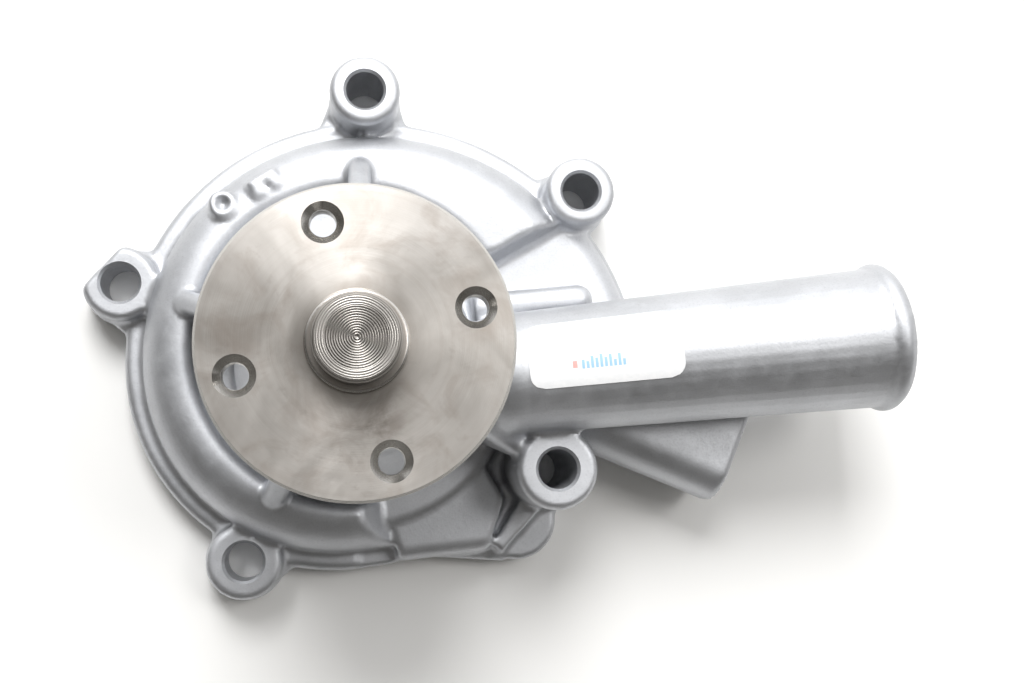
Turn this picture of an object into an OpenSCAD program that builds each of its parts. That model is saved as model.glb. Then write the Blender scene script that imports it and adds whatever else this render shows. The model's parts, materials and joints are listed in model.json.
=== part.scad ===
// Automotive water pump: a spiral aluminium casting with a hose neck and a side port, an
// integral shaft bearing, a mechanical seal, an impeller and a pressed-on pulley flange.
// +Z runs along the shaft towards the flange, +X along the hose neck. The origin is on the
// shaft axis in the plane of the gasket face, on which the pump rests.

/* [Shaft and flange] */
// Diameter of the bearing shaft
shaft_d = 15.918; // [15.9:0.002:15.94]
// Height of the flange's front face above the gasket face
flange_z = 75; // [74.5:0.5:77]
// Diameter of the pulley flange
flange_d = 57.5; // [54:0.5:60]
// Thickness of the pulley flange
flange_t = 6; // [5:0.5:6.5]
// Diameter of the circle of pulley bolts
bolt_pcd = 44.5; // [42:0.5:46]
// Radius of the tapped flange holes at their thread crests
bolt_r = 2.5; // [2.1:0.1:3]
// Angle of the first pulley bolt from +X
bolt_turn = 10.5; // [0:0.5:89]
// Height of the shaft's nose above the flange's front face
nose_h = 7.8; // [6:0.1:9]
// Distance between two turned grooves on the nose's end
groove_pitch = 0.44; // [0.3:0.02:0.6]

/* [Casting] */
// Radius of the first and largest arc of the spiral outline
spiral_r = 63.35; // [62:0.05:64]
// Amount by which each quarter arc is smaller than the one before
spiral_step = 7.7; // [7.4:0.1:8]
// Thickness of the gasket rim
rim_t = 8; // [7:0.5:9]
// Width of the rim outside the dome of the volute
rim_w = 4.7; // [4:0.1:5.5]
// Height of the dome of the volute
dome_h = 20; // [19:0.5:21]
// Thickness of the casting's walls
wall = 4; // [3.5:0.5:4.5]
// Direction of the upright wall where the dome ends
dome_end = 24; // [22:1:26]
// Outer diameter of the bearing snout
snout_d = 40; // [38:0.5:42]
// Radius of the clearance holes for the body bolts
body_bolt_r = 4.25; // [4:0.05:4.5]

/* [Hose neck and side port] */
// Sideways position of the hose neck's axis
neck_y = -6; // [-7:0.5:-5]
// Height of the hose neck's axis
neck_z = 32; // [31:0.5:33]
// Distance from the shaft axis to the hose neck's mouth
neck_end = 118; // [110:1:124]
// Outer diameter of the hose neck at its root
neck_root_d = 26; // [25:0.5:27]
// Outer diameter of the hose neck behind its bead
neck_tip_d = 31; // [30:0.5:32]
// Diameter of the bead that holds the hose
bead_d = 33; // [32.5:0.5:34]
// Diameter of the water way in the hose neck
neck_bore_d = 21; // [19:0.5:21]
// Direction of the side port
port_turn = -28; // [-29:0.5:-27]
// Distance from the shaft axis to the plane of the port's end face
port_end = 86.5; // [84:0.5:88]
// Radius of the port's thread at its crests
port_r = 7.475; // [7:0.005:7.6]

/* [Bearing and seal] */
// Outer diameter of the bearing
bearing_d = 30; // [29.9:0.05:30.1]
// Diameter of a bearing ball
ball_d = 6; // [5.8:0.1:6]
// Number of balls in a row
balls = 8; // [7:1:8]
// Radial clearance of everything that runs in the bearing
run_gap = 0.05; // [0.02:0.01:0.08]
// Outer diameter of the mechanical seal's case
seal_d = 28; // [27.5:0.5:28]

/* [Impeller] */
// Diameter of the impeller
impeller_d = 60; // [56:0.5:61]
// Number of vanes
vanes = 6; // [5:1:7]
// Height of the vanes' front edges above the gasket face
vane_top = 9.8; // [8.5:0.1:9.8]

/* [Hidden] */
$fn = 96;
shaft_r = shaft_d / 2;
spiral_centre = [3.7, -5.2];
rim_round = 1.5;
shoulder = 9.5;
land_w = rim_w + wall + 1;
pocket_r = impeller_d / 2 + 3.2;
pocket_h = vane_top + 0.7;
floor_h = pocket_h + wall;
dish_centre = [-0.3, 4.6];
dish_r = 37.8;
wall_foot = [21, 12];
lobe = [33.3, -38.4];
lobe_r = 9.1;
chamber_r = 21;
chamber_top = 27;
seal_top = 33.2;
bearing_z = 36.5;
snout_top = 66;
snout_r = snout_d / 2;
ball_r = ball_d / 2;
pitch_r = 9.8;
ball_rows = [44.5, 58];
ring_in_r = 11.8;
neck_x = 32;
port_n = 16.3;
port_z = 12.4;
collar_h = 1.5;
relief_w = 0.8;
spring_wire = 1.3;
spring_r = 11.95;
spring_turns = 4.5;
spring_z = [22.1, 31.1];
spring_sides = 8;
spring_steps = 90;
label_t = 0.12;
// The bolt bosses, anticlockwise from the top: centre, height and diameter of each
TOP_BOSS = [[7.8, 62.2], 20, 16];
EAR_BOSS = [[-50.7, 24.3], 12, 16.8];
LOW_BOSS = [[-29, -40.6], 11, 17];
COLUMN_BOSS = [[40.3, -27.3], 33, 17.6];
RIGHT_BOSS = [[54.7, 35], 20, 16];
BOSSES = [TOP_BOSS, EAR_BOSS, LOW_BOSS, COLUMN_BOSS, RIGHT_BOSS];
// The ribs from the snout to the bosses: direction, radius and height of the low end
RIBS = [[83.7, 44, 24], [153.8, 42, 20], [232.4, 38, 17], [-33, 38, 33]];

// Centre and radius of quarter arc q of the spiral: the centre goes round a small square
function arc_centre(q) = spiral_centre + spiral_step * [[0, 0], [0, 1], [-1, 1]][q];
function arc_radius(q) = spiral_r - q * spiral_step;

// Half section of a flat-topped solid of revolution whose upper outer edge is rounded
module rounded_section(r, h, round_r) {
    square([r - round_r, h]);
    square([r, h - round_r]);
    translate([r - round_r, h - round_r]) circle(round_r);
}

// Three quarter arcs of the spiral, inset from the outline, revolved into one solid
module spiral_solid(inset, h, round_r, start = 0) {
    for (q = [0 : 2])
        translate(concat(arc_centre(q), 0))
            rotate_extrude(angle = q == 0 ? 90 - start : 90, start = 90 * q + (q == 0 ? start : 0))
                rounded_section(arc_radius(q) - inset, h, round_r);
}

module rounded_rectangle(w, h, r) {
    translate([-w / 2 + r, -h / 2]) square([w - 2 * r, h]);
    translate([-w / 2, -h / 2 + r]) square([w, h - 2 * r]);
    for (x = [-1, 1], y = [-1, 1])
        translate([x * (w / 2 - r), y * (h / 2 - r)]) circle(r);
}

// Rim of the casting: the spiral, closed by a wavy lower edge and a corner lobe
module rim() {
    low = arc_centre(2).y - arc_radius(2);
    right = spiral_centre.x + spiral_r;
    spiral_solid(0, rim_t, rim_round);
    linear_extrude(rim_t - rim_round / 2)
        polygon([[-6, 4], [-6, low], [3, low + 0.3], [9, low + 1.4], [16, low + 0.3], lobe + [-4, -lobe_r],
            lobe + [lobe_r, 0], [50, -26], [right, spiral_centre.y], [right, spiral_centre.y + 1], [4, 4]]);
    translate(concat(lobe, 0)) cylinder(r = lobe_r, h = rim_t);
}

// Dome over the volute, hollowed out in front round the snout
module dome() {
    lip = 3;
    low_end = 8;
    lean = 22;
    difference() {
        union() {
            spiral_solid(rim_w, dome_h, shoulder, dome_end - 6);
            // The narrow start of the volute runs straight on to the plateau
            translate([low_end + 3, arc_centre(2).y, 0]) rotate([90, 0, -90])
                linear_extrude(low_end + 3 - arc_centre(2).x)
                    rounded_section(arc_radius(2) - rim_w, dome_h, shoulder);
        }
        translate(concat(dish_centre, floor_h)) cylinder(r = dish_r - lip, h = dome_h);
        translate(concat(dish_centre, dome_h - lip)) rotate_extrude() difference() {
            square([dish_r, lip + 1]);
            translate([dish_r, 0]) circle(lip);
        }
        // The upright end wall leans back over the volute
        translate(concat(wall_foot, rim_t)) rotate([0, 0, dome_end]) rotate([-lean, 0, 0])
            translate([0, -200, -40]) cube([200, 200, 100]);
        // The low end slopes down to the plateau
        translate([low_end, -100, rim_t]) rotate([0, -40, 0]) cube([50, 100, 50]);
    }
}

// Flat cover over the impeller pocket: it reaches the lower edge as a plateau, and the outline
// between the end of the dome and the hose neck as a raised floor
module pocket_cover() {
    plateau = [5, 27];
    plateau_r = arc_radius(2) - arc_centre(2).y - 1;
    rotate_extrude() rounded_section(pocket_r + wall, floor_h, 3);
    intersection() {
        translate([plateau[1] + 4, 0, 0]) rotate([90, 0, -90])
            linear_extrude(plateau[1] + 4 - plateau[0]) rounded_section(plateau_r, floor_h - 1, 3.5);
        linear_extrude(floor_h)
            polygon([[0, 0], [0, -50], [24.5, -50], [25.8, -43], [30.5, -33], [25, -21]]);
    }
    translate(concat(spiral_centre, 0)) rotate_extrude(angle = dome_end + 24, start = -8)
        rounded_section(spiral_r - 1.5, floor_h, 6);
}

// Bearing snout: wide over the suction chamber, then a slim round nose
module snout() {
    base_r = chamber_r + 5;
    rotate_extrude() polygon([[0, rim_t - 1], [base_r + 4, rim_t - 1], [base_r + 1, 14], [base_r, 18],
        [base_r, 27], [base_r - 1, 30], [snout_r + 1, 40], [snout_r, 44],
        [snout_r, snout_top - 1], [snout_r - 1, snout_top], [0, snout_top]]);
}

// Upright web with a crowned top edge that slopes down from the snout
module rib(turn, r_end, z_end, t = 5) {
    z_high = 52;
    r_high = snout_r - 3;
    slope = atan2(z_high - z_end, r_end - r_high);
    span = norm([r_end - r_high, z_high - z_end]);
    crown = t / 2 + 0.5;
    rotate([0, 0, turn]) intersection() {
        translate([0, 0, rim_t - 1]) linear_extrude(z_high) {
            translate([r_high, -t / 2]) square([r_end - r_high, t]);
            translate([r_end, 0]) circle(d = t);
        }
        translate([r_high, 0, z_high]) rotate([0, 90 + slope, 0]) translate([0, 0, -crown])
            linear_extrude(span + 4 * crown) {
                translate([crown, 0]) circle(crown);
                translate([crown, -crown]) square([z_high, 2 * crown]);
            }
    }
}

// Bolt boss on a splayed foot that runs back into the rim
module boss(b) {
    centre = b[0];
    r = b[2] / 2;
    out = atan2(centre.y, centre.x);
    translate(concat(centre, 0)) {
        rotate_extrude() {
            rounded_section(r, b[1], 0.8);
            polygon([[0, 0], [r + 0.5, 0], [r + 0.5, rim_t - 3], [r, rim_t], [0, rim_t]]);
        }
        rotate([0, 0, out]) linear_extrude(rim_t - 1)
            polygon([[0, r + 0.3], [0, -r - 0.3], [-r - 5, -r - 5], [-r - 5, r + 5]]);
    }
}

// The left ear's boss: its outer side is cut off flat close to the bolt hole
module ear() {
    flat = 5.5;
    turn = 133;
    difference() {
        boss(EAR_BOSS);
        translate(concat(EAR_BOSS[0], -1)) rotate([0, 0, turn]) translate([flat, -20, 0]) cube([20, 40, 20]);
    }
}

// Hose neck: a tapered tube with a rounded bead, on a stump that leads down to the chamber
module hose_neck() {
    bead_w = 5;
    bead_r = bead_d / 2;
    tip_r = neck_tip_d / 2;
    root_r = neck_root_d / 2;
    translate([neck_x, neck_y, rim_t - 1]) cylinder(r = root_r + 0.3, h = neck_z - rim_t + 1);
    translate([neck_x, neck_y, neck_z]) sphere(r = root_r + 0.3);
    translate([0, neck_y, neck_z]) rotate([0, 90, 0]) {
        translate([0, 0, neck_x]) cylinder(r1 = root_r, r2 = tip_r, h = neck_end - neck_x - bead_w);
        translate([0, 0, neck_end - bead_w]) rotate_extrude() {
            square([tip_r, bead_w - 0.6]);
            square([tip_r - 0.6, bead_w]);
            translate([bead_r - bead_w / 2, bead_w / 2 - 0.4]) circle(bead_w / 2);
        }
    }
    // Short rounded ridge beside the neck's root
    ridge = [27, 51];
    ridge_y = 10;
    ridge_z = 21;
    ridge_r = 3.3;
    translate([ridge[0], ridge_y, ridge_z]) rotate([0, 90, 0]) cylinder(r = ridge_r, h = ridge[1] - ridge[0]);
    translate([ridge[1], ridge_y, ridge_z]) sphere(r = ridge_r);
    translate([ridge[0], ridge_y - ridge_r, rim_t]) cube([ridge[1] - ridge[0], 2 * ridge_r, ridge_z - rim_t]);
    translate([ridge[1], ridge_y, rim_t]) cylinder(r = ridge_r, h = ridge_z - rim_t);
}

// Places its children on the side port's axis, with +Z pointing out of the port
module on_port(along) {
    rotate([0, 0, port_turn]) translate([along, port_n, port_z]) rotate([0, 90, 0]) children();
}

module side_port() {
    on_port(28) linear_extrude(port_end - 28) rounded_rectangle(20, 28, 7);
}

// Water ways and bores, all the space that the casting's core leaves open
module water_ways() {
    chamber_h = chamber_top - floor_h + 0.5;
    floor_z = floor_h - 0.5;
    // Volute and impeller pocket, open to the rear
    translate([0, 0, -1]) spiral_solid(land_w, pocket_h + 1, 4, dome_end + 18);
    translate([0, 0, -1]) cylinder(r = pocket_r, h = pocket_h + 1);
    difference() {
        translate(concat(spiral_centre, 5)) rotate_extrude(angle = 59 - dome_end, start = dome_end + 31)
            rounded_section(spiral_r - land_w, dome_h - wall - 5, 5);
        translate(dish_centre) cylinder(r = dish_r + wall, h = dome_h);
    }
    // Impeller eye, suction chamber and the way to the hose neck
    cylinder(r = 17, h = floor_h);
    translate([0, 0, floor_z]) cylinder(r = chamber_r, h = chamber_h);
    translate([0, neck_y - 9, floor_z]) cube([neck_x, 18, 11]);
    translate([neck_x, neck_y, floor_z]) cylinder(r = 10, h = neck_z - floor_z);
    translate([neck_x - 7.5, neck_y, neck_z]) rotate([0, 90, 0]) cylinder(d = neck_bore_d, h = 120);
    // Side port: thread, then a drilling that turns up into the hose neck
    on_port(port_end - 14) cylinder(r = port_r, h = 15);
    on_port(42) cylinder(r = 5.5, h = port_end - 42);
    rotate([0, 0, port_turn]) translate([42, port_n, port_z]) cylinder(r = 5.5, h = neck_z - port_z);
}

module bearing_bores() {
    translate([0, 0, chamber_top - 1]) cylinder(d = seal_d, h = seal_top - chamber_top + 1);
    translate([0, 0, seal_top - 1]) cylinder(r = 13, h = bearing_z - seal_top + 2);
    translate([0, 0, bearing_z]) cylinder(d = bearing_d, h = snout_top - bearing_z + 1);
    // Weep hole, down when the pump is bolted to the engine
    translate([0, 0, (seal_top + bearing_z) / 2]) rotate([90, 0, 0]) cylinder(r = 1.6, h = 40);
}

// Pockets cored into the rear of the solid corner beside the volute
module rear_pockets() {
    translate([0, 0, -1]) {
        translate([32, -38, 0]) cylinder(r = 5.5, h = 5.5);
        translate([18, -39.3, 0]) cylinder(r = 2.6, h = 5.5);
        translate([18, -41.9, 0]) cube([14, 5.2, 5.5]);
        translate([51, 14, 0]) cylinder(r = 6.5, h = 5.5);
    }
}

// Two plain raised marks on the dome: a ring and a notched bar
module foundry_marks() {
    top = dome_h + 0.5;
    low = dome_h - 4;
    translate([-26, 38.6, low]) difference() {
        cylinder(r = 3.2, h = top - low);
        translate([0, 0, top - low - 1.4]) cylinder(r = 1.5, h = 2);
    }
    translate([-16.4, 42.6, low]) rotate([0, 0, 27]) difference() {
        translate([-3.6, -2.2, 0]) cube([7.2, 4.4, top - low]);
        translate([-0.6, -3, top - low - 1.4]) cube([1.4, 3.4, 2]);
    }
}

module pump_body() color([0.70, 0.71, 0.73]) {
    difference() {
        union() {
            rim();
            dome();
            pocket_cover();
            snout();
            for (r = RIBS) rib(r[0], r[1], r[2]);
            for (b = [TOP_BOSS, LOW_BOSS, COLUMN_BOSS, RIGHT_BOSS]) boss(b);
            ear();
            hose_neck();
            side_port();
            // Low web from the column down to the corner lobe
            translate([0, 0, rim_t - 1]) linear_extrude(5)
                polygon([[38.5, -36.5], [28.6, -45.2], [26.6, -43], [34.5, -33]]);
            foundry_marks();
        }
        water_ways();
        bearing_bores();
        rear_pockets();
        for (b = BOSSES) translate(concat(b[0], -1)) cylinder(r = body_bolt_r, h = b[1] + 2);
    }
}

module bearing_outer_ring() color([0.62, 0.61, 0.60]) {
    chamfer = 0.6;
    difference() {
        translate([0, 0, bearing_z]) cylinder(d = bearing_d, h = snout_top - bearing_z);
        translate([0, 0, bearing_z - 1]) cylinder(r = ring_in_r, h = snout_top - bearing_z + 2);
        for (z = ball_rows) translate([0, 0, z]) raceway();
        for (end = [0, 1]) translate([0, 0, end ? snout_top : bearing_z]) mirror([0, 0, end])
            rotate_extrude() polygon([[bearing_d / 2 - chamfer, 0], [bearing_d / 2 + 1, 0],
                [bearing_d / 2 + 1, chamfer], [bearing_d / 2, chamfer]]);
    }
}

// Ring-shaped groove that the balls of one row run in
module raceway() {
    rotate_extrude() translate([pitch_r, 0]) circle(ball_r + run_gap);
}

// Lip seal that closes one end of the bearing
module lip_seal() {
    rotate_extrude() polygon([[shaft_r + run_gap, 0.8], [shaft_r + run_gap, 1.3], [shaft_r + 1, 2],
        [ring_in_r, 2], [ring_in_r, 0.3], [ring_in_r - 1, 0.3], [shaft_r + 1.4, 0.6]]);
}

module bearing_front_seal() color([0.16, 0.10, 0.07])
    translate([0, 0, snout_top]) mirror([0, 0, 1]) lip_seal();

module bearing_rear_seal() color([0.16, 0.10, 0.07])
    translate([0, 0, bearing_z]) lip_seal();

module ball_row(z) {
    for (i = [0 : balls - 1]) rotate([0, 0, 360 / balls * i]) translate([pitch_r, 0, z]) sphere(r = ball_r);
}

// Crown cage: a ring with a pocket round each ball
module ball_cage(z, up) {
    translate([0, 0, z]) mirror([0, 0, up ? 0 : 1]) difference() {
        rotate_extrude() polygon([[8.7, -1.2], [10.9, -1.2], [10.9, 4.2], [8.7, 4.2]]);
        for (i = [0 : balls - 1]) rotate([0, 0, 360 / balls * i]) translate([pitch_r, 0, 0])
            sphere(r = ball_r + 0.1);
    }
}

module front_balls() color([0.8, 0.8, 0.8]) ball_row(ball_rows[1]);
module rear_balls() color([0.8, 0.8, 0.8]) ball_row(ball_rows[0]);
module front_cage() color([0.85, 0.80, 0.65]) ball_cage(ball_rows[1], true);
module rear_cage() color([0.85, 0.80, 0.65]) ball_cage(ball_rows[0], false);

module seal_case() color([0.78, 0.62, 0.32]) {
    r = seal_d / 2;
    t = 0.8;
    rotate_extrude() polygon([[r - t, chamber_top - t], [r + 2, chamber_top - t], [r + 2, chamber_top],
        [r, chamber_top], [r, seal_top], [9.2, seal_top], [9.2, seal_top - t], [r - t, seal_top - t]]);
}

module seal_bellows() color([0.10, 0.10, 0.11])
    rotate_extrude() polygon([[8.6, 21], [10.7, 21], [10.7, 24], [10.2, 25.2], [10.9, 26.6], [10.9, 28.4],
        [10.4, 29.6], [10.4, 31.2], [12.9, 31.2], [12.9, seal_top - 0.8], [9.4, seal_top - 0.8],
        [9.4, 29], [9.8, 27.6], [9.2, 25.4], [8.6, 22.6]]);

// Coil spring: a round wire swept along a helix that starts and ends flat
function spring_height(s) = let (flat = 0.16, f = min(1, max(0, (s - flat) / (1 - 2 * flat))))
    spring_z[0] + spring_wire / 2 + f * (spring_z[1] - spring_z[0] - spring_wire);
function spring_point(s, a) = let (turn = 360 * spring_turns * s, r = spring_r + spring_wire / 2 * cos(a))
    [r * cos(turn), r * sin(turn), spring_height(s) + spring_wire / 2 * sin(a)];
module seal_spring() color([0.75, 0.75, 0.76]) {
    n = spring_sides;
    last = spring_steps * n;
    polyhedron(
        points = [for (i = [0 : spring_steps], k = [0 : n - 1]) spring_point(i / spring_steps, 360 * k / n)],
        faces = concat([[for (k = [0 : n - 1]) k]], [[for (k = [n - 1 : -1 : 0]) last + k]],
            [for (i = [0 : spring_steps - 1], k = [0 : n - 1])
                [i * n + k, (i + 1) * n + k, (i + 1) * n + (k + 1) % n, i * n + (k + 1) % n]]));
}

module seal_retainer() color([0.72, 0.72, 0.74])
    rotate_extrude() polygon([[10.8, 18], [11.2, 18], [11.2, 21.6], [12.8, 21.6], [12.8, 22], [10.8, 22]]);

module carbon_ring() color([0.13, 0.13, 0.14])
    rotate_extrude() polygon([[8.9, 16.55], [9.9, 16.55], [9.9, 17.5], [10.8, 17.5], [10.8, 21], [8.6, 21],
        [8.6, 17.5], [8.9, 17.5]]);

module seat_ring() color([0.93, 0.92, 0.88])
    translate([0, 0, 12]) difference() {
        cylinder(r = 10.2, h = 4.5);
        translate([0, 0, -1]) cylinder(r = 8.3, h = 7);
    }

module seat_cup() color([0.08, 0.08, 0.09])
    rotate_extrude() polygon([[8.1, 11], [11.2, 11], [11.2, 15.4], [10.2, 15.4], [10.2, 12], [8.1, 12]]);

// Radius of the hose neck's outside at distance x from the shaft axis
function neck_r(x) = neck_root_d / 2 + (neck_tip_d - neck_root_d) / 2
    * (x - neck_x) / (neck_end - neck_x - 5);

// Paper label laid round the camera side of the hose neck, with cut-off corners
module label() color("white") {
    x = [34.7, 67.2];
    corner = 2.5;
    low = -20;
    high = 42;
    for (band = [[x[0], x[1] - corner, low, high], [x[1] - corner, x[1], low + 9, high - 9]])
        translate([0, neck_y, neck_z]) rotate([0, 90, 0])
            rotate_extrude(angle = band[3] - band[2], start = 180 - band[3])
                polygon([for (p = [[band[0], 0], [band[1], 0], [band[1], label_t], [band[0], label_t]])
                    [neck_r(p[0]) + p[1], p[0]]]);
}

module pump_shaft() color([0.68, 0.67, 0.65]) {
    end_z = flange_z + nose_h;
    rear_z = 1;
    chamfer = 0.7;
    grooves = 13;
    depth = 0.14;
    difference() {
        rotate_extrude() polygon(concat(
            [[0, rear_z], [shaft_r - chamfer, rear_z], [shaft_r, rear_z + chamfer],
                [shaft_r, end_z - chamfer], [shaft_r - chamfer, end_z]],
            [for (i = [2 * grooves : -1 : 1]) [i * groove_pitch / 2, end_z - (i % 2) * depth]],
            [[0, end_z - depth]]));
        for (z = ball_rows) translate([0, 0, z]) raceway();
        // Relief groove where the nose leaves the flange's collar
        translate([0, 0, flange_z + collar_h]) difference() {
            cylinder(r = shaft_r + 1, h = relief_w);
            translate([0, 0, -1]) cylinder(r = shaft_r - 0.35, h = relief_w + 2);
        }
    }
}

module pulley_flange() color([0.74, 0.71, 0.67]) {
    r = flange_d / 2;
    edge = 0.5;
    hub_r = 13;
    collar_r = 9.4;
    back = flange_z - flange_t;
    sink = 1.35;
    difference() {
        rotate_extrude() {
            polygon([[shaft_r, back - 2.2], [hub_r - 0.5, back - 2.2], [hub_r, back - 1.7], [hub_r, back],
                [r - edge, back], [r, back + edge], [r, flange_z - edge], [r - edge, flange_z],
                [shaft_r, flange_z]]);
            translate([shaft_r, flange_z - 1]) square([collar_r - shaft_r, collar_h + 1 - 0.7]);
            translate([shaft_r, flange_z - 1]) square([collar_r - shaft_r - 0.7, collar_h + 1]);
            translate([collar_r - 0.7, flange_z + collar_h - 0.7]) circle(0.7);
        }
        for (i = [0 : 3]) rotate([0, 0, bolt_turn + 90 * i]) translate([bolt_pcd / 2, 0, 0]) {
            translate([0, 0, back - 1]) cylinder(r = bolt_r, h = flange_t + 2);
            translate([0, 0, flange_z - sink]) cylinder(r1 = bolt_r, r2 = bolt_r + sink + 1, h = sink + 1);
            translate([0, 0, back - 1]) cylinder(r1 = bolt_r + 1.6, r2 = bolt_r, h = 1.6);
        }
    }
}

// Outline of one backward-swept vane: part of a thin ring between the hub and the tip
module vane_outline() {
    arc_r = 19;
    vane_t = 2.6;
    intersection() {
        translate([-17, 0]) difference() {
            circle(arc_r);
            circle(arc_r - vane_t);
        }
        difference() {
            circle(impeller_d / 2);
            circle(9);
        }
        translate([-40, 0]) square([80, 40]);
    }
}

module impeller() color([0.36, 0.34, 0.32]) {
    rear = 2;
    disc_t = 2.6;
    disc_r = 23;
    hub_r = 12.5;
    hub_top = 15.4;
    difference() {
        union() {
            translate([0, 0, rear]) cylinder(r = disc_r, h = disc_t);
            translate([0, 0, rear]) cylinder(r = hub_r, h = hub_top - rear);
            for (i = [0 : vanes - 1]) rotate([0, 0, 360 / vanes * i])
                translate([0, 0, rear]) linear_extrude(vane_top - rear) vane_outline();
        }
        translate([0, 0, rear - 1]) cylinder(r = shaft_r, h = hub_top);
        translate([0, 0, 11]) cylinder(r = 11.2, h = hub_top);
        for (i = [0 : 2]) rotate([0, 0, 120 * i])
            translate([0, 17.5, rear - 1]) cylinder(r = 2, h = disc_t + 2);
    }
}

module slinger() color([0.70, 0.70, 0.72]) {
    z = (seal_top + bearing_z) / 2;
    rotate_extrude() polygon([[shaft_r, z - 1], [9, z - 1], [9.4, z - 0.4], [12, z - 0.4], [12, z + 0.4],
        [9, z + 0.4], [8.8, z + 0.9], [shaft_r, z + 0.9]]);
}

pump_body();
bearing_outer_ring();
bearing_front_seal();
bearing_rear_seal();
seal_case();
seal_bellows();
seal_spring();
seal_retainer();
carbon_ring();
label();
pump_shaft();
pulley_flange();
impeller();
seat_ring();
seat_cup();
slinger();
front_balls();
front_cage();
rear_balls();
rear_cage();
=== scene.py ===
"""Looks of the water pump, built round the CAD frame.

The casting and the impeller are replaced by pieces with rounded edges, the label by one with round
corners, and the tapped holes get threads. Every other node keeps its CAD shape.
"""
import json
import math

import bmesh
import bpy
import numpy as np
from mathutils import Matrix, Vector
from mathutils.bvhtree import BVHTree


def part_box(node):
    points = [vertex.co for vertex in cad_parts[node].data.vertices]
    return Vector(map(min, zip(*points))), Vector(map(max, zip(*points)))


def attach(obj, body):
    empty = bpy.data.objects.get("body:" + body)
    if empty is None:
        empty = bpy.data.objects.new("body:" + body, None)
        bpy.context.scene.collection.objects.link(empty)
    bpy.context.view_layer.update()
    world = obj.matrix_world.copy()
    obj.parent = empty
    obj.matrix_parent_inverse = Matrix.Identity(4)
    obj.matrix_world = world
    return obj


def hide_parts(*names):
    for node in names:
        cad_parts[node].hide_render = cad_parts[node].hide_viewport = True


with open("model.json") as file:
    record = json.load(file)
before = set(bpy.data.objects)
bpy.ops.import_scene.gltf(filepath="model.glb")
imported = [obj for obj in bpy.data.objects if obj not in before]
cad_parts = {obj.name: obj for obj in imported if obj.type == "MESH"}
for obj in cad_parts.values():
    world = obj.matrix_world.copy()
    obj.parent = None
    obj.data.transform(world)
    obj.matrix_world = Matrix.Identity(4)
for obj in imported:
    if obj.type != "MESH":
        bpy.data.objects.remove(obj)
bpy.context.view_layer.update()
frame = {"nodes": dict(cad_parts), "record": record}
MM = 0.001
NODES = frame["nodes"]
MOUNTS = {m["name"]: m for m in frame["record"]["mounts"]}
scene = bpy.context.scene

# Places and sizes in metres, in the frame: Z along the shaft, z = 0 the gasket plane
NOSE_FACE_Z = 0.0818  # above this the shaft shows the turned face of its nose
NOSE_GROOVE_PITCH = 0.00044
SHAFT_SHADOW_CENTRE = (0.002, -0.0145, 0.075)  # centre of the painted shadow of the shaft on the flange's face
NECK_ROOT = (0.032, 0.013)  # the hose neck's x and radius at the start of its taper
NECK_TIP = (0.113, 0.0155)  # and at the end
FIRST_FLANGE_HOLE = math.radians(10.5)  # turn of the first tapped hole from +X
BOSS_LAND, EAR_LAND = 1.9 * MM, 0.8 * MM  # width of the flat ring round a bolt hole

# The photograph's viewing angle: near top-down, rolled a little
CAMERA_RIGHT = (0.9866, -0.10675, 0.12325)
CAMERA_UP = (0.0950, 0.99067, 0.09757)
CAMERA_AT = (-0.00227, -0.02184, 0.29803)
CAMERA_LENS = 43.95


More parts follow.
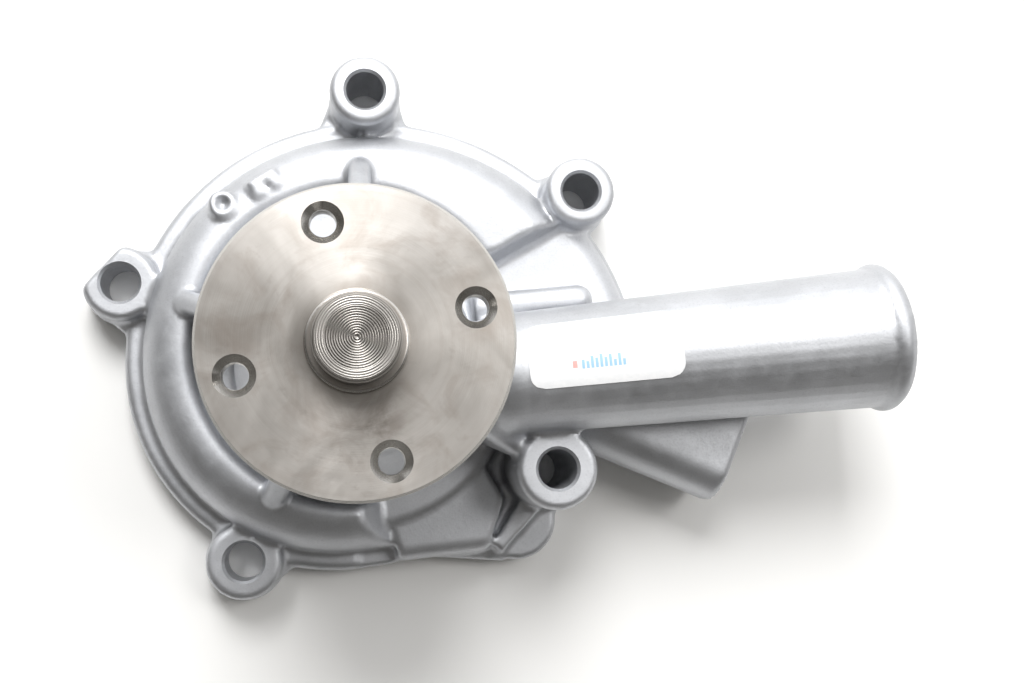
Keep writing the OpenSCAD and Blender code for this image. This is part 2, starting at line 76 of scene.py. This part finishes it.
# ---------------------------------------------------------------- materials
class Graph:
    """Short way to write a material's node tree: most calls add nodes and return an output."""

    def __init__(self, name, **constants):
        self.material = bpy.data.materials.new(name)
        self.material.use_nodes = True
        self.tree = self.material.node_tree
        self.shader = self.tree.nodes["Principled BSDF"]
        for socket, value in constants.items():
            self.shader.inputs[socket.replace("_", " ")].default_value = value
        self.place = self.add("ShaderNodeTexCoord").outputs["Object"]

    def add(self, kind, inputs=(), **settings):
        """Adds a node and returns it. An input is a constant or another node's output."""
        node = self.tree.nodes.new(kind)
        for key, value in settings.items():
            setattr(node, key, value)
        for socket, value in dict(inputs).items():
            if isinstance(value, bpy.types.NodeSocket):
                self.tree.links.new(value, node.inputs[socket])
            else:
                node.inputs[socket].default_value = value
        return node

    def vector(self, operation, a, b):
        return self.add("ShaderNodeVectorMath", {0: a, 1: b}, operation=operation).outputs[0]

    def length(self, vector):
        node = self.add("ShaderNodeVectorMath", {0: vector}, operation="LENGTH")
        return node.outputs["Value"]

    def parts(self, vector):
        return self.add("ShaderNodeSeparateXYZ", {0: vector}).outputs

    def noise(self, scale, detail=3.0, rough=0.5, stretch=None, distortion=0.0):
        place = self.vector("MULTIPLY", self.place, stretch) if stretch else self.place
        node = self.add("ShaderNodeTexNoise", {
            "Vector": place, "Scale": scale, "Detail": detail, "Roughness": rough,
            "Distortion": distortion})
        return node.outputs["Fac"]

    def line_noise(self, w, scale):
        """Noise that changes only with w, such as rings when w is the radius."""
        node = self.add("ShaderNodeTexNoise", {"W": w, "Scale": scale, "Detail": 2.0},
                        noise_dimensions="1D")
        return node.outputs["Fac"]

    def math(self, operation, a, b=0.0):
        return self.add("ShaderNodeMath", {0: a, 1: b}, operation=operation).outputs[0]

    def spread(self, value, low, high, to_low=0.0, to_high=1.0):
        """Maps low..high to to_low..to_high, held at both ends."""
        node = self.add("ShaderNodeMapRange", {
            "Value": value, "From Min": low, "From Max": high, "To Min": to_low, "To Max": to_high})
        return node.outputs["Result"]

    def mix(self, fac, a, b):
        return self.add("ShaderNodeMix", {0: fac, 6: a, 7: b}, data_type="RGBA").outputs[2]

    def radius(self):
        """Distance from the shaft axis, in metres."""
        return self.length(self.vector("MULTIPLY", self.place, (1, 1, 0)))

    def bump(self, *layers):
        """Stacks bumps: each layer is (height, distance in metres)."""
        normal = None
        for height, distance in layers:
            inputs = {"Height": height, "Distance": distance, "Strength": 1.0}
            if normal is not None:
                inputs["Normal"] = normal
            normal = self.add("ShaderNodeBump", inputs).outputs["Normal"]
        self.tree.links.new(normal, self.shader.inputs["Normal"])

    def to(self, socket, value):
        """Feeds one of the shader's own sockets."""
        self.tree.links.new(value, self.shader.inputs[socket])


def rgb(r, g, b):
    return (r, g, b, 1.0)


def cast_aluminium():
    """Satin as-cast skin: faint cloudy patches and the fine grain of a die's surface."""
    g = Graph("cast_aluminium", Metallic=1.0, IOR=1.45)
    patches = g.noise(45, 4, 0.55)
    flow = g.noise(260, 5, 0.6, distortion=0.5)
    grain = g.noise(2200, 2, 0.6)
    tone = g.mix(g.spread(patches, 0.35, 0.7), rgb(0.50, 0.51, 0.53), rgb(0.60, 0.61, 0.635))
    tone = g.mix(g.spread(flow, 0.5, 0.75, 0.0, 0.35), tone, rgb(0.68, 0.69, 0.71))
    tone = g.mix(g.spread(grain, 0.55, 0.8, 0.0, 0.35), tone, rgb(0.38, 0.385, 0.40))
    g.to("Base Color", tone)
    rough = g.spread(flow, 0.3, 0.7, 0.46, 0.54)
    g.to("Roughness", g.math("ADD", rough, g.spread(grain, 0.3, 0.7, 0.0, 0.08)))
    g.bump((flow, 0.00003), (g.noise(900, 3, 0.6), 0.00002), (grain, 0.000015))
    return g.material


def machined_aluminium():
    """Bright cut metal with fine rings: the gasket face and the port's thread."""
    g = Graph("machined_aluminium", Metallic=1.0)
    wear = g.noise(120, 4)
    rings = g.line_noise(g.radius(), 5200)
    tone = g.mix(g.spread(wear, 0.35, 0.7), rgb(0.55, 0.56, 0.58), rgb(0.66, 0.67, 0.69))
    g.to("Base Color", tone)
    rough = g.spread(wear, 0.3, 0.7, 0.34, 0.44)
    g.to("Roughness", g.math("ADD", rough, g.spread(rings, 0.3, 0.7, 0.0, 0.08)))
    g.bump((rings, 0.00001))
    return g.material


def flange_steel():
    """Turned steel: short fine arcs round the shaft axis under warm oily stains, painted shade
    round the collar and a painted shadow of the shaft below it.

    The rim and the countersinks, which tilt away from the face, are cleaner and smoother.
    """
    g = Graph("flange_steel", Metallic=1.0, Anisotropic=0.5, Anisotropic_Rotation=0.25)
    radius = g.radius()
    rings = g.line_noise(radius, 9000)
    broad = g.line_noise(radius, 900)
    broken = g.spread(g.noise(90, 3, 0.6), 0.4, 0.65)
    cloud = g.noise(42, 5, 0.6, distortion=0.9)
    blotch = g.noise(120, 5, 0.62, distortion=0.8)
    fleck = g.noise(330, 4, 0.65)
    level = g.parts(g.add("ShaderNodeTexCoord").outputs["Normal"])[2]
    tilted = g.spread(level, 0.98, 0.9)
    stain = rgb(0.40, 0.35, 0.31)

    tone = g.mix(g.spread(cloud, 0.3, 0.7), rgb(0.46, 0.43, 0.395), rgb(0.60, 0.572, 0.54))
    arcs = g.math("MULTIPLY", g.spread(rings, 0.45, 0.7, 0.0, 0.3), broken)
    tone = g.mix(arcs, tone, rgb(0.75, 0.73, 0.70))
    tone = g.mix(g.spread(broad, 0.45, 0.75, 0.0, 0.12), tone, stain)
    tone = g.mix(g.spread(blotch, 0.48, 0.70, 0.0, 0.6), tone, stain)
    tone = g.mix(g.spread(fleck, 0.62, 0.76, 0.0, 0.3), tone, rgb(0.32, 0.28, 0.25))
    # Painted shadow of the shaft: a dark patch on the face just below it, broken up by the blotches
    shaft_shadow = g.spread(g.length(g.vector("SUBTRACT", g.place, SHAFT_SHADOW_CENTRE)), 0.010, 0.001)
    shaft_shadow = g.math("MULTIPLY", shaft_shadow, g.spread(blotch, 0.25, 0.6, 0.25, 1.0))
    tone = g.mix(g.math("MULTIPLY", shaft_shadow, 0.8), tone, rgb(0.13, 0.115, 0.10))
    # Painted shade: a darker ring on the face round the shaft's collar
    collar_shade = g.spread(radius, 0.0125, 0.0095, 0.0, 0.45)
    tone = g.mix(collar_shade, tone, rgb(0.25, 0.225, 0.20))
    tone = g.mix(tilted, tone, rgb(0.60, 0.585, 0.56))
    g.to("Base Color", tone)

    worn = g.spread(cloud, 0.4, 0.75, 0.28, 0.38)
    worn = g.math("ADD", worn, g.spread(rings, 0.3, 0.7, 0.0, 0.08))
    g.to("Roughness", g.math("MULTIPLY", worn, g.spread(tilted, 0.0, 1.0, 1.0, 0.6)))
    g.to("Tangent", g.add("ShaderNodeTangent", direction_type="RADIAL", axis="Z").outputs[0])
    g.bump((rings, 0.000006), (broad, 0.000004), (fleck, 0.000003))
    return g.material


def shaft_steel():
    """Turned steel, with the tool's fine grooves on the nose face; the side and the grooves carry
    painted shade.
    """
    g = Graph("shaft_steel", Metallic=1.0)
    radius = g.radius()
    fine = g.line_noise(radius, 5200)
    wear = g.noise(260, 4, 0.6)
    face = g.math("GREATER_THAN", g.parts(g.place)[2], NOSE_FACE_Z)
    groove = g.math("SINE", g.math("MULTIPLY", radius, 2 * math.pi / NOSE_GROOVE_PITCH))
    groove = g.math("MULTIPLY", g.spread(groove, -0.4, 0.9), face)
    # The side is painted darker than the nose face: painted shade on the side
    tone = g.mix(g.spread(wear, 0.3, 0.7), rgb(0.24, 0.23, 0.215), rgb(0.36, 0.345, 0.325))
    tone = g.mix(face, tone, rgb(0.42, 0.40, 0.375))
    tone = g.mix(g.spread(fine, 0.5, 0.75, 0.0, 0.3), tone, rgb(0.62, 0.60, 0.57))
    # The tool grooves are painted dark: painted shade in them
    tone = g.mix(g.math("MULTIPLY", groove, 0.75), tone, rgb(0.15, 0.14, 0.13))
    g.to("Base Color", tone)
    g.to("Roughness", g.spread(wear, 0.3, 0.7, 0.27, 0.38))
    g.bump((groove, -0.00003), (fine, 0.000008))
    return g.material


def plain_steel(name, low, high, rough):
    """Ground or pressed metal with fine brushing round the shaft and small wear marks."""
    g = Graph(name, Metallic=1.0)
    wear = g.noise(260, 4)
    brush = g.noise(900, 2, 0.5, stretch=(1, 1, 12))
    g.to("Base Color", g.mix(g.spread(wear, 0.3, 0.7), low, high))
    g.to("Roughness", g.spread(wear, 0.3, 0.7, rough, rough + 0.12))
    g.bump((brush, 0.000008))
    return g.material


def dull(name, low, high, rough, scale, height, **constants):
    """Rubber, carbon, nylon, ceramic or iron: mottled colour and a fine moulded or cast grain."""
    g = Graph(name, **constants)
    mottle = g.noise(scale, 4, 0.6)
    grain = g.noise(scale * 6, 3, 0.6)
    g.to("Base Color", g.mix(g.spread(mottle, 0.3, 0.7), low, high))
    g.to("Roughness", g.spread(grain, 0.3, 0.7, rough, min(1.0, rough + 0.15)))
    g.bump((mottle, height), (grain, height / 3))
    return g.material


def label_paper():
    """White paper with a generic strip of small blue bars and a small red block."""
    g = Graph("label_paper", Specular_IOR_Level=0.5)
    fibre = g.noise(900, 4, 0.6)
    white = g.mix(g.spread(fibre, 0.3, 0.7), rgb(0.86, 0.87, 0.88), rgb(0.93, 0.93, 0.93))
    along, across, _ = g.parts(g.add("ShaderNodeUVMap", uv_map="label").outputs[0])

    def band(value, low, high):
        """1 between low and high, 0 elsewhere."""
        above = g.math("GREATER_THAN", value, low)
        below = g.math("LESS_THAN", value, high)
        return g.math("MULTIPLY", above, below)

    # Small upright bars of uneven height, with a block before them
    bars = g.math("MULTIPLY", along, 34.0)
    gaps = g.math("GREATER_THAN", g.math("FRACT", bars), 0.34)
    height = g.add("ShaderNodeTexWhiteNoise", {"W": g.math("FLOOR", bars)}, noise_dimensions="1D")
    height = g.math("MULTIPLY", height.outputs["Value"], 0.10)
    tops = g.math("LESS_THAN", across, g.math("ADD", height, 0.33))
    strip = g.math("MULTIPLY", band(across, 0.24, 0.44), band(along, 0.33, 0.62))
    strip = g.math("MULTIPLY", g.math("MULTIPLY", strip, gaps), tops)
    block = g.math("MULTIPLY", band(across, 0.26, 0.36), band(along, 0.275, 0.305))
    tone = g.mix(g.math("MULTIPLY", strip, 0.7), white, rgb(0.12, 0.42, 0.70))
    tone = g.mix(g.math("MULTIPLY", block, 0.7), tone, rgb(0.75, 0.18, 0.14))
    g.to("Base Color", tone)
    g.to("Roughness", g.spread(fibre, 0.3, 0.7, 0.42, 0.55))
    g.bump((fibre, 0.000012))
    return g.material


def floor_material():
    """Plain pale surface with the faintest clouding."""
    g = Graph("pale_floor", Specular_IOR_Level=0.3)
    cloud = g.noise(3, 3)
    tone = g.mix(g.spread(cloud, 0.3, 0.7), rgb(0.90, 0.895, 0.88), rgb(0.93, 0.925, 0.91))
    g.to("Base Color", tone)
    g.to("Roughness", g.spread(cloud, 0.3, 0.7, 0.6, 0.7))
    return g.material


def paint(obj, *materials):
    obj.data.materials.clear()
    for material in materials:
        obj.data.materials.append(material)


def shade_smooth(obj, angle=32):
    """Smooth shading with sharp edges kept where the surface turns by more than the angle."""
    mesh = obj.data
    mesh.polygons.foreach_set("use_smooth", [True] * len(mesh.polygons))
    bm = bmesh.new()
    bm.from_mesh(mesh)
    for edge in bm.edges:
        edge.smooth = edge.calc_face_angle(0.0) < math.radians(angle)
    bm.to_mesh(mesh)
    bm.free()


# ---------------------------------------------------------------- geometry helpers
def new_object(name, mesh):
    obj = bpy.data.objects.new(name, mesh)
    scene.collection.objects.link(obj)
    return obj


def coordinates(mesh):
    co = np.empty(len(mesh.vertices) * 3)
    mesh.vertices.foreach_get("co", co)
    return co.reshape(-1, 3)


def set_coordinates(mesh, co):
    mesh.vertices.foreach_set("co", co.ravel())
    mesh.update()


def even_copy(node, name, voxel, rounds, softness):
    """A copy of a CAD node's surface whose edges and corners are rounded, as a casting's are.

    The copy is remeshed evenly and relaxed, which rounds every edge. Wherever it is still close to
    the CAD surface it is laid back on it, so flats and round faces stay true. softness(co) gives
    each point's share of the relaxing.
    """
    near = 0.06 * MM  # points nearer the CAD surface than this are laid right on it
    fade = 0.16 * MM  # and less and less over this much more
    source = NODES[node].data
    obj = new_object(name, source.copy())
    remesh = obj.modifiers.new("even", "REMESH")
    remesh.mode = "VOXEL"
    remesh.voxel_size = voxel
    graph = bpy.context.evaluated_depsgraph_get()
    mesh = bpy.data.meshes.new_from_object(obj.evaluated_get(graph))
    bpy.data.objects.remove(obj)
    mesh.name = name
    mesh.polygons.foreach_set("use_smooth", [True] * len(mesh.polygons))
    co = coordinates(mesh)
    count = len(co)
    share = 0.5 * softness(co)[:, None]
    edges = np.empty(len(mesh.edges) * 2, dtype=np.int32)
    mesh.edges.foreach_get("vertices", edges)
    a, b = edges[0::2], edges[1::2]
    neighbours = np.bincount(edges, minlength=count)[:, None]
    for _ in range(rounds):
        total = np.stack([np.bincount(a, co[b, k], count) + np.bincount(b, co[a, k], count)
                          for k in range(3)], 1)
        co += share * (total / neighbours - co)
    tree = BVHTree.FromPolygons([v.co for v in source.vertices],
                                [p.vertices for p in source.polygons])
    true = np.array([tree.find_nearest(p)[0] for p in co])
    gap = np.linalg.norm(co - true, axis=1)
    keep = np.clip((gap - near) / fade, 0.0, 1.0)[:, None]
    co = true + (co - true) * keep * keep * (3 - 2 * keep)
    set_coordinates(mesh, co)
    return new_object(name, mesh)


def keep_in_box(co, node):
    """Holds the points inside the CAD node's own box."""
    low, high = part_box(node)
    np.clip(co, np.array(low), np.array(high), out=co)


def turned_cutter(radius, low, high, chamfer):
    """Solid along Z that cuts a round bore from low to high and chamfers both its edges."""
    segments = 96
    reach = 2.0 * MM  # how far it stands out of the bore at either end
    flare = radius + chamfer + reach
    profile = [(flare, low - reach), (radius, low + chamfer),
               (radius, high - chamfer), (flare, high + reach)]
    turns = [2 * math.pi * i / segments for i in range(segments)]
    bm = bmesh.new()
    rows = [[bm.verts.new((r * math.cos(turn), r * math.sin(turn), z)) for turn in turns]
            for r, z in profile]
    for a, b in zip(rows, rows[1:]):
        for i in range(segments):
            n = (i + 1) % segments
            bm.faces.new((a[i], a[n], b[n], b[i]))
    bm.faces.new(rows[0][::-1])
    bm.faces.new(rows[-1])
    mesh = bpy.data.meshes.new("cutter")
    bm.to_mesh(mesh)
    bm.free()
    return mesh


def cut(obj, cutters):
    """Takes the cutters, pairs of a mesh and its placement, away from obj."""
    bm = bmesh.new()
    for mesh, place in cutters:
        mesh.transform(place)
        bm.from_mesh(mesh)
    whole = bpy.data.meshes.new("cutters")
    bm.to_mesh(whole)
    bm.free()
    tool = new_object("cutters", whole)
    step = obj.modifiers.new("cut", "BOOLEAN")
    step.operation = "DIFFERENCE"
    step.object = tool
    step.solver = "MANIFOLD"
    graph = bpy.context.evaluated_depsgraph_get()
    obj.data = bpy.data.meshes.new_from_object(obj.evaluated_get(graph))
    obj.modifiers.clear()
    bpy.data.objects.remove(tool)


def thread(name, body, centre, axis, radius, depth, pitch, length, material, segments=40):
    """Helical ridge inside the wall of a tapped hole, fading out at both ends.

    centre is the middle of the hole where the ridge starts, and axis the way it climbs.
    """
    root = radius + 0.05 * MM  # sunk a little into the wall
    foot, crest = 0.48, 0.06  # half the ridge's width at its foot and crest, in pitches
    profile = [(root, -foot), (radius - depth, -crest), (radius - depth, crest), (root, foot)]
    steps = int(length / pitch * segments)
    bm = bmesh.new()
    rows = []
    for i in range(steps + 1):
        turn = 2 * math.pi * i / segments
        grow = min(1.0, i / segments * 2, (steps - i) / segments * 2)
        row = []
        for r, z in profile:
            r = root - (root - r) * grow
            at = (r * math.cos(turn), r * math.sin(turn), (i / segments + z) * pitch)
            row.append(bm.verts.new(at))
        rows.append(row)
    for a, b in zip(rows, rows[1:]):
        for k in range(len(profile) - 1):
            bm.faces.new((a[k], b[k], b[k + 1], a[k + 1]))
        bm.faces.new((a[-1], b[-1], b[0], a[0]))
    bm.faces.new(rows[0][::-1])
    bm.faces.new(rows[-1])
    bmesh.ops.recalc_face_normals(bm, faces=bm.faces)
    turn_to = Vector((0, 0, 1)).rotation_difference(Vector(axis)).to_matrix().to_4x4()
    bm.transform(Matrix.Translation(Vector(centre)) @ turn_to)
    mesh = bpy.data.meshes.new(name)
    bm.to_mesh(mesh)
    bm.free()
    obj = new_object(name, mesh)
    paint(obj, material)
    shade_smooth(obj, 40)
    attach(obj, body)
    return obj


# ---------------------------------------------------------------- pieces
def narrowed(co, centre, axis, radius, low, high):
    """Draws the wall of a bore in a little, ready for a clean cut at its true radius."""
    slack = 0.35 * MM  # the relaxed wall may lie this far outside its true radius
    core = 0.6 * radius  # and never nearer the axis than this
    drawn_in = 0.6 * MM
    out = co - centre
    along = out @ axis
    out -= along[:, None] * axis
    dist = np.linalg.norm(out, axis=1)
    wall = (dist < radius + slack) & (dist > core) & (along > low) & (along < high)
    co[wall] -= out[wall] * (1 - (radius - drawn_in) / dist[wall])[:, None]


def true_bosses(co):
    """Flattens the tops of the bolt bosses and narrows their bores. Returns the bores' cutters."""
    up = np.array((0.0, 0.0, 1.0))
    snap = 0.7 * MM  # points this near the top's height are put on it
    past = 1.0 * MM  # how far beyond the boss's ends its wall is looked for
    cutters = []
    for name, mount in MOUNTS.items():
        if not name.startswith("body_bolt"):
            continue
        x, y, _ = mount["pos_m"]
        centre = np.array((x, y, 0.0))
        radius, top = mount["dims"]["r_mm"] * MM, mount["dims"]["length_mm"] * MM
        land = EAR_LAND if name.endswith("ear") else BOSS_LAND
        dist = np.linalg.norm(co[:, :2] - centre[:2], axis=1)
        co[(dist < radius + land) & (abs(co[:, 2] - top) < snap), 2] = top
        narrowed(co, centre, up, radius, -past, top + past)
        cutter = turned_cutter(radius, 0.0, top, chamfer=0.6 * MM)
        cutters.append((cutter, Matrix.Translation(centre)))
    return cutters


def true_port(co):
    """Flattens the side port's face and narrows its bore. Returns the bore's cutter."""
    port = MOUNTS["side_port"]
    axis = np.array(port["axis"]) / np.linalg.norm(port["axis"])
    face = np.array(port["pos_m"]) + axis * port["dims"]["length_mm"] * MM / 2
    depth = port["dims"]["length_mm"] * MM
    radius = port["dims"]["r_mm"] * MM
    snap = 0.25 * MM  # points this near the face's plane are put on it
    past = 1.0 * MM
    flat = (abs((co - face) @ axis) < snap) & (np.linalg.norm(co - face, axis=1) < 3 * radius)
    co[flat] -= ((co[flat] - face) @ axis)[:, None] * axis
    narrowed(co, face, axis, radius, -depth, past)
    turn = Vector((0, 0, 1)).rotation_difference(Vector(axis)).to_matrix().to_4x4()
    cutter = turned_cutter(radius, -depth - 2.0 * MM, 0.0, chamfer=0.7 * MM)
    return cutter, Matrix.Translation(face) @ turn


def casting(rough, machined):
    """The pump body as cast: rounded edges, flat boss tops and gasket face, clean bores."""
    rim_top = 0.8 * MM
    bead_start = MOUNTS["hose_neck"]["pos_m"][0] - 8 * MM
    snap = 0.3 * MM  # points this near the gasket plane are put on it

    def softness(co):
        """Less relaxing at the gasket rim and at the neck's bead, so both stay crisp."""
        share = np.ones(len(co))
        share[co[:, 2] < rim_top] = 0.2
        share[co[:, 0] > bead_start] = 0.45
        return share

    voxel, rounds = ((0.6 * MM, 10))
    skin = even_copy("pump_body", "casting", voxel, rounds, softness)
    co = coordinates(skin.data)
    co[abs(co[:, 2]) < snap, 2] = 0.0
    cutters = true_bosses(co)
    cutters.append(true_port(co))
    keep_in_box(co, "pump_body")
    set_coordinates(skin.data, co)
    cut(skin, cutters)
    shade_smooth(skin, 38)

    # The gasket face is machined, the rest is as cast
    paint(skin, rough, machined)
    centres = np.array([p.center for p in skin.data.polygons])
    normals = np.array([p.normal for p in skin.data.polygons])
    ground = (abs(centres[:, 2]) < 0.1 * MM) & (normals[:, 2] < -0.9)
    skin.data.polygons.foreach_set("material_index", ground.astype(int))
    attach(skin, "housing")
    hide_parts("pump_body")


def cast_wheel(material):
    """The impeller as cast, with rounded vanes."""
    voxel, rounds = ((0.4 * MM, 6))
    wheel = even_copy("impeller", "impeller_casting", voxel, rounds, lambda co: np.ones(len(co)))
    co = coordinates(wheel.data)
    keep_in_box(co, "impeller")
    set_coordinates(wheel.data, co)
    paint(wheel, material)
    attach(wheel, "rotor")
    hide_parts("impeller")


def paper_label(material):
    """Thin label with rounded corners, laid round the hose neck on its camera side."""
    low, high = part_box("label")
    width = high.x - low.x
    neck = MOUNTS["hose_neck"]["pos_m"]
    (root_x, root_r), (tip_x, tip_r) = NECK_ROOT, NECK_TIP
    mean_r = 0.014  # the neck's radius under the label, near enough for the corners
    turn_low, turn_high = math.radians(-20), math.radians(42)
    corner = 3.0 * MM
    clear, thick = 0.02 * MM, 0.1 * MM
    columns, rows = 48, 28
    bm = bmesh.new()
    uv_layer = bm.loops.layers.uv.new("label")

    def sheet(lift):
        """Grid of pairs of a point and its place on the print, this far above the neck."""
        grid = []
        for j in range(rows + 1):
            v = j / rows
            turn = turn_low + v * (turn_high - turn_low)
            from_edge = min(v, 1 - v) * (turn_high - turn_low) * mean_r
            inset = 0.0
            if from_edge < corner:
                inset = corner - math.sqrt(corner ** 2 - (corner - from_edge) ** 2)
            line = []
            for i in range(columns + 1):
                x = low.x + inset + i / columns * (width - 2 * inset)
                r = root_r + (tip_r - root_r) * (x - root_x) / (tip_x - root_x) + lift
                at = (x, neck[1] + r * math.sin(turn), neck[2] + r * math.cos(turn))
                line.append((bm.verts.new(at), ((x - low.x) / width, v)))
            grid.append(line)
        return grid

    def rim(grid):
        """The grid's outer points, once round."""
        return (grid[0] + [line[-1] for line in grid[1:]] + grid[-1][-2::-1]
                + [line[0] for line in grid[-2:0:-1]])

    grids = [sheet(clear), sheet(clear + thick)]
    for grid in grids:
        for j in range(rows):
            for i in range(columns):
                ring = [grid[j][i], grid[j][i + 1], grid[j + 1][i + 1], grid[j + 1][i]]
                face = bm.faces.new([point for point, _ in ring])
                for loop, (_, uv) in zip(face.loops, ring):
                    loop[uv_layer].uv = uv
    under, over = rim(grids[0]), rim(grids[1])
    for k in range(len(under)):
        n = (k + 1) % len(under)
        bm.faces.new([under[k][0], under[n][0], over[n][0], over[k][0]])
    bmesh.ops.recalc_face_normals(bm, faces=bm.faces)
    mesh = bpy.data.meshes.new("paper_label")
    bm.to_mesh(mesh)
    bm.free()
    obj = new_object("paper_label", mesh)
    paint(obj, material)
    shade_smooth(obj)
    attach(obj, "housing")
    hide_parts("label")


def flange_threads(material):
    """Thread in each of the tapped flange holes."""
    bolts = MOUNTS["pulley_bolts"]
    count = bolts["dims"]["count"]
    centre = Vector(bolts["pos_m"])
    circle_r = bolts["dims"]["pcd_mm"] * MM / 2
    hole_r = bolts["dims"]["hole_r_mm"] * MM
    start = -3.5 * MM  # from the mount's own height
    depth, pitch, length = 0.12 * MM, 0.8 * MM, 3.4 * MM
    for i in range(count):
        turn = FIRST_FLANGE_HOLE + i * 2 * math.pi / count
        at = centre + Vector((circle_r * math.cos(turn), circle_r * math.sin(turn), start))
        obj = thread(f"flange_thread_{i + 1}", "rotor", at, (0, 0, 1), hole_r, depth, pitch, length,
                     material)


def port_thread(material):
    """Pipe thread in the side port, from inside it up towards its face."""
    port = MOUNTS["side_port"]
    axis = Vector(port["axis"]).normalized()
    start = Vector(port["pos_m"]) - axis * 6.5 * MM
    radius = port["dims"]["r_mm"] * MM
    depth, pitch, length = 0.7 * MM, 1.34 * MM, 12.0 * MM
    obj = thread("side_port_thread", "housing", start, axis, radius, depth, pitch, length,
                 material, segments=64)


# ---------------------------------------------------------------- studio
def floor():
    """Pale plane that the gasket face stands on."""
    bpy.ops.mesh.primitive_plane_add(size=6)
    plane = bpy.context.object
    plane.name = "floor"
    paint(plane, floor_material())


def area_light(name, at, aim, size, watts, colour=(1, 1, 1)):
    """Round light at one place, turned towards another."""
    data = bpy.data.lights.new(name, "AREA")
    data.shape = "DISK"
    data.size = size
    data.energy = watts
    data.color = colour
    obj = bpy.data.objects.new(name, data)
    scene.collection.objects.link(obj)
    obj.location = at
    obj.rotation_euler = (Vector(aim) - Vector(at)).to_track_quat("-Z", "Y").to_euler()


def studio():
    """Floor, soft key light from the picture's top, small fill light and a graded surrounding."""
    floor()
    area_light("key", at=(-0.02, 0.64, 0.80), aim=(0.0, 0.0, 0.02), size=0.5, watts=9.5)
    area_light("fill", at=(0.50, 0.10, 0.82), aim=(0.08, -0.03, 0.02), size=0.3, watts=1.9,
               colour=(1.0, 0.99, 0.97))

    # Bright sky behind the key light, dim warm room on the other side
    sky_side = (0.35, 0.93, 0.0)
    sky, room = (1.3, 1.3, 1.3, 1), (0.125, 0.12, 0.112, 1)
    world = bpy.data.worlds.new("studio")
    world.use_nodes = True
    tree = world.node_tree
    links = tree.links
    background = tree.nodes["Background"]
    towards = tree.nodes.new("ShaderNodeVectorMath")
    towards.operation = "DOT_PRODUCT"
    links.new(tree.nodes.new("ShaderNodeTexCoord").outputs["Generated"], towards.inputs[0])
    towards.inputs[1].default_value = sky_side
    ramp = tree.nodes.new("ShaderNodeMapRange")
    ramp.interpolation_type = "SMOOTHSTEP"
    ramp.inputs["From Min"].default_value = -0.2
    ramp.inputs["From Max"].default_value = 0.7
    links.new(towards.outputs["Value"], ramp.inputs["Value"])
    tint = tree.nodes.new("ShaderNodeMix")
    tint.data_type = "RGBA"
    tint.inputs[6].default_value = room
    tint.inputs[7].default_value = sky
    links.new(ramp.outputs["Result"], tint.inputs[0])
    links.new(tint.outputs[2], background.inputs["Color"])
    background.inputs["Strength"].default_value = 1.0
    scene.world = world
    scene.view_settings.view_transform = "Standard"
    scene.view_settings.exposure = 0.0


def camera():
    """The photograph's view."""
    right, up = Vector(CAMERA_RIGHT), Vector(CAMERA_UP)
    back = right.cross(up).normalized()
    up = back.cross(right).normalized()
    data = bpy.data.cameras.new("camera")
    data.sensor_width = 36.0
    data.lens = CAMERA_LENS
    data.clip_start = 0.01
    data.clip_end = 50
    obj = bpy.data.objects.new("camera", data)
    scene.collection.objects.link(obj)
    rotation = Matrix((right.normalized(), up, back)).transposed()
    obj.matrix_world = Matrix.Translation(CAMERA_AT) @ rotation.to_4x4()
    scene.camera = obj


def dress_nodes():
    """A material for every CAD node that is shown as it is. Returns the flange's."""
    flange = flange_steel()
    shaft = shaft_steel()
    bearing = plain_steel("bearing_steel", rgb(0.48, 0.47, 0.46), rgb(0.60, 0.59, 0.57), 0.25)
    bright = plain_steel("spring_steel", rgb(0.58, 0.58, 0.59), rgb(0.70, 0.70, 0.71), 0.28)
    brass = plain_steel("seal_brass", rgb(0.60, 0.44, 0.18), rgb(0.74, 0.56, 0.26), 0.28)
    ball = plain_steel("ball_steel", rgb(0.74, 0.74, 0.75), rgb(0.82, 0.82, 0.82), 0.05)
    brown = dull("brown_rubber", rgb(0.07, 0.035, 0.02), rgb(0.11, 0.06, 0.04), 0.55, 500, 0.00003)
    black = dull("black_rubber", rgb(0.012, 0.012, 0.013), rgb(0.03, 0.03, 0.032), 0.55, 500,
                 0.00003)
    carbon = dull("carbon", rgb(0.018, 0.018, 0.02), rgb(0.04, 0.04, 0.042), 0.3, 700, 0.00001)
    ceramic = dull("seat_ceramic", rgb(0.80, 0.78, 0.72), rgb(0.88, 0.86, 0.80), 0.18, 400,
                   0.000006)
    nylon = dull("cage_nylon", rgb(0.66, 0.60, 0.44), rgb(0.76, 0.70, 0.54), 0.4, 300, 0.00002)
    looks = {
        "bearing_outer_ring": bearing, "bearing_front_seal": brown, "bearing_rear_seal": brown,
        "seal_case": brass, "seal_bellows": black, "seal_spring": bright,
        "seal_retainer": bright, "carbon_ring": carbon, "pump_shaft": shaft,
        "pulley_flange": flange, "seat_ring": ceramic, "seat_cup": black, "slinger": bright,
        "front_balls": ball, "rear_balls": ball, "front_cage": nylon, "rear_cage": nylon,
    }
    for node, material in looks.items():
        paint(NODES[node], material)
    return flange


camera()
studio()
flange_finish = dress_nodes()
cut_finish = machined_aluminium()
casting(cast_aluminium(), cut_finish)
cast_wheel(dull("impeller_iron", rgb(0.16, 0.15, 0.14), rgb(0.24, 0.225, 0.21), 0.5, 300, 0.0001,
                Metallic=0.85))
paper_label(label_paper())
flange_threads(flange_finish)
port_thread(cut_finish)
